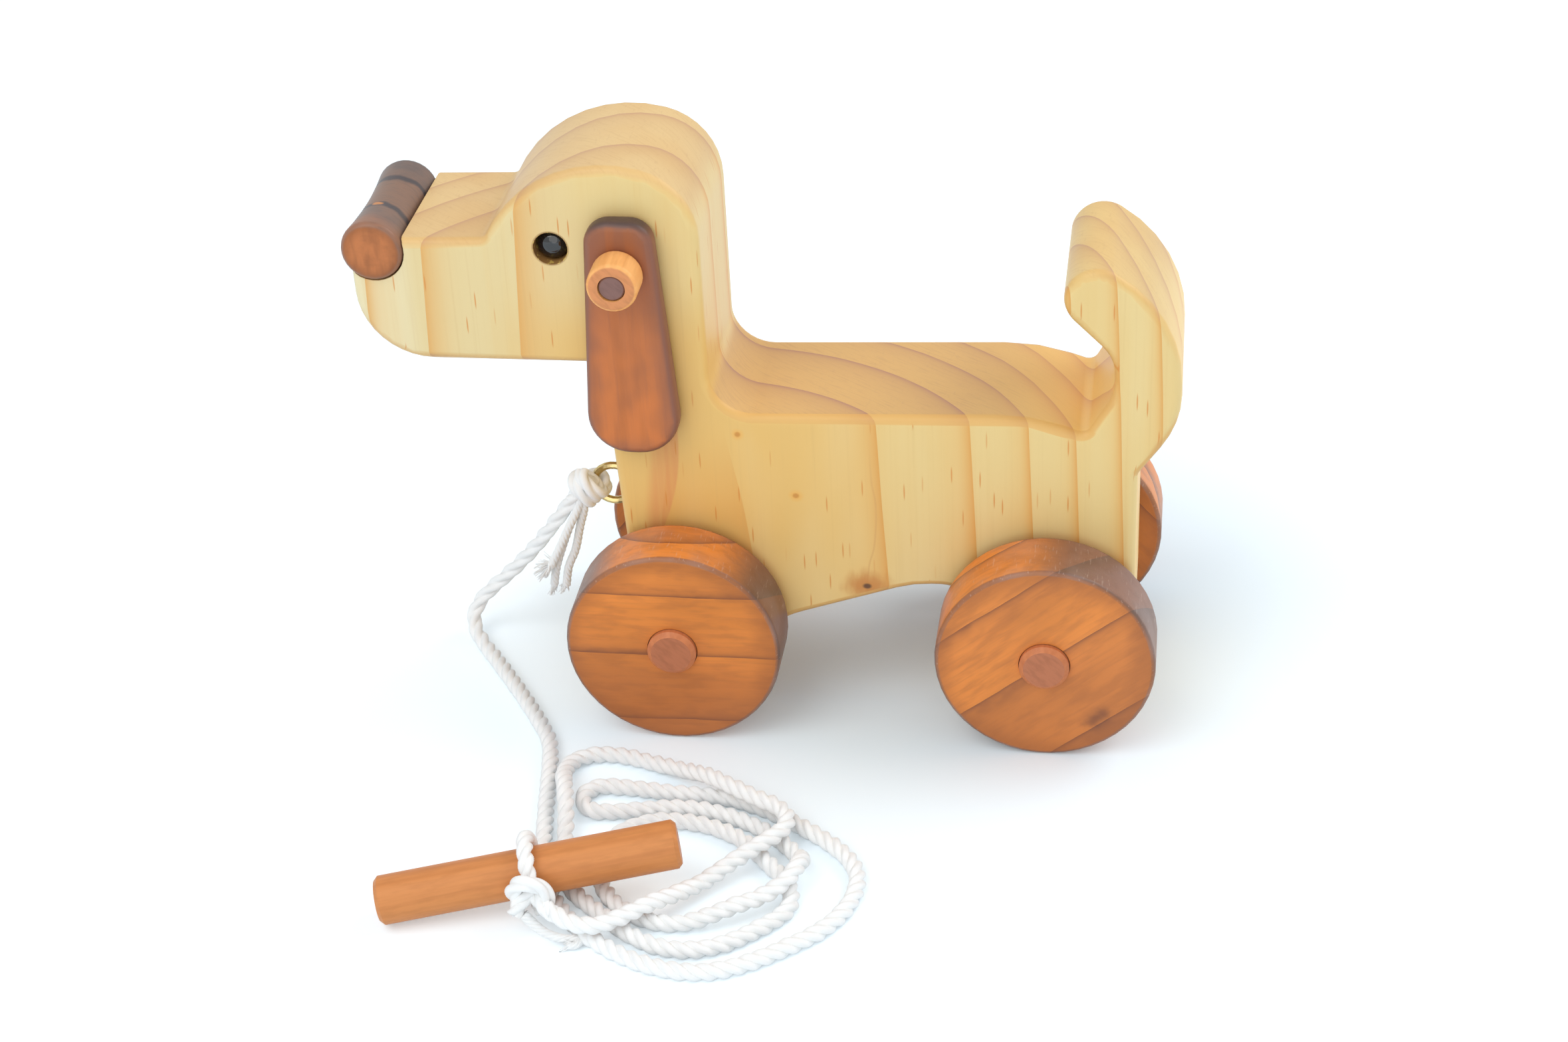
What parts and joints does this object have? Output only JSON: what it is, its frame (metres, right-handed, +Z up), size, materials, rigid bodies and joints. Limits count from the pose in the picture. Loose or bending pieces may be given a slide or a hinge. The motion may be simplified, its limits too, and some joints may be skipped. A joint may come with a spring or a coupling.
{
  "type": "dog pull toy",
  "caption": "Sawn wooden dog on turning wheels, with swinging ears, a dowel nose and a brass eye at the chest for a cotton pull cord that ends in a dowel handle.",
  "frame": {"origin": "on the floor, midway between the nose and the tail and midway across the board", "axes": "the dog faces -X, its left side is towards -Y, and +Z is up"},
  "size_m": [0.2084, 0.18, 0.1544],
  "materials": {
    "pine": "satin",
    "stained": "satin",
    "dowel": "satin",
    "cap": "satin",
    "handle": "satin",
    "nose": "satin",
    "pin": "satin",
    "eye": "gloss",
    "brass": "worn",
    "cotton": "matte"
  },
  "bodies": {
    "dog": {"body": "pine", "nose": "nose", "eye_left": "eye", "eye_right": "eye", "ear_pin": "pin", "ear_cap_left": "cap", "ear_cap_right": "cap", "screw_eye": "brass", "ring_knot": "cotton", "cord_lead": "cotton", "cord_coil": "cotton", "cord_end": "cotton", "handle_knot": "cotton", "handle": "handle"},
    "front_wheelset": {"axle_front": "dowel", "wheel_front_left": "stained", "wheel_front_right": "stained"},
    "rear_wheelset": {"axle_rear": "dowel", "wheel_rear_left": "stained", "wheel_rear_right": "stained"},
    "left_ear": {"ear_left": "stained"},
    "right_ear": {"ear_right": "stained"}
  },
  "joints": [
    {"name": "front_axle_spin", "type": "hinge", "parent": "dog", "child": "front_wheelset", "pos_m": [-0.02385, 0, 0.028], "axis": [0, 1, 0], "continuous": true},
    {"name": "rear_axle_spin", "type": "hinge", "parent": "dog", "child": "rear_wheelset", "pos_m": [0.07195, 0, 0.028], "axis": [0, 1, 0], "continuous": true},
    {"name": "left_ear_swing", "type": "hinge", "parent": "dog", "child": "left_ear", "pos_m": [-0.03265, 0, 0.1298], "axis": [0, 1, 0], "continuous": true},
    {"name": "right_ear_swing", "type": "hinge", "parent": "dog", "child": "right_ear", "pos_m": [-0.03265, 0, 0.1298], "axis": [0, 1, 0], "continuous": true}
  ]
}
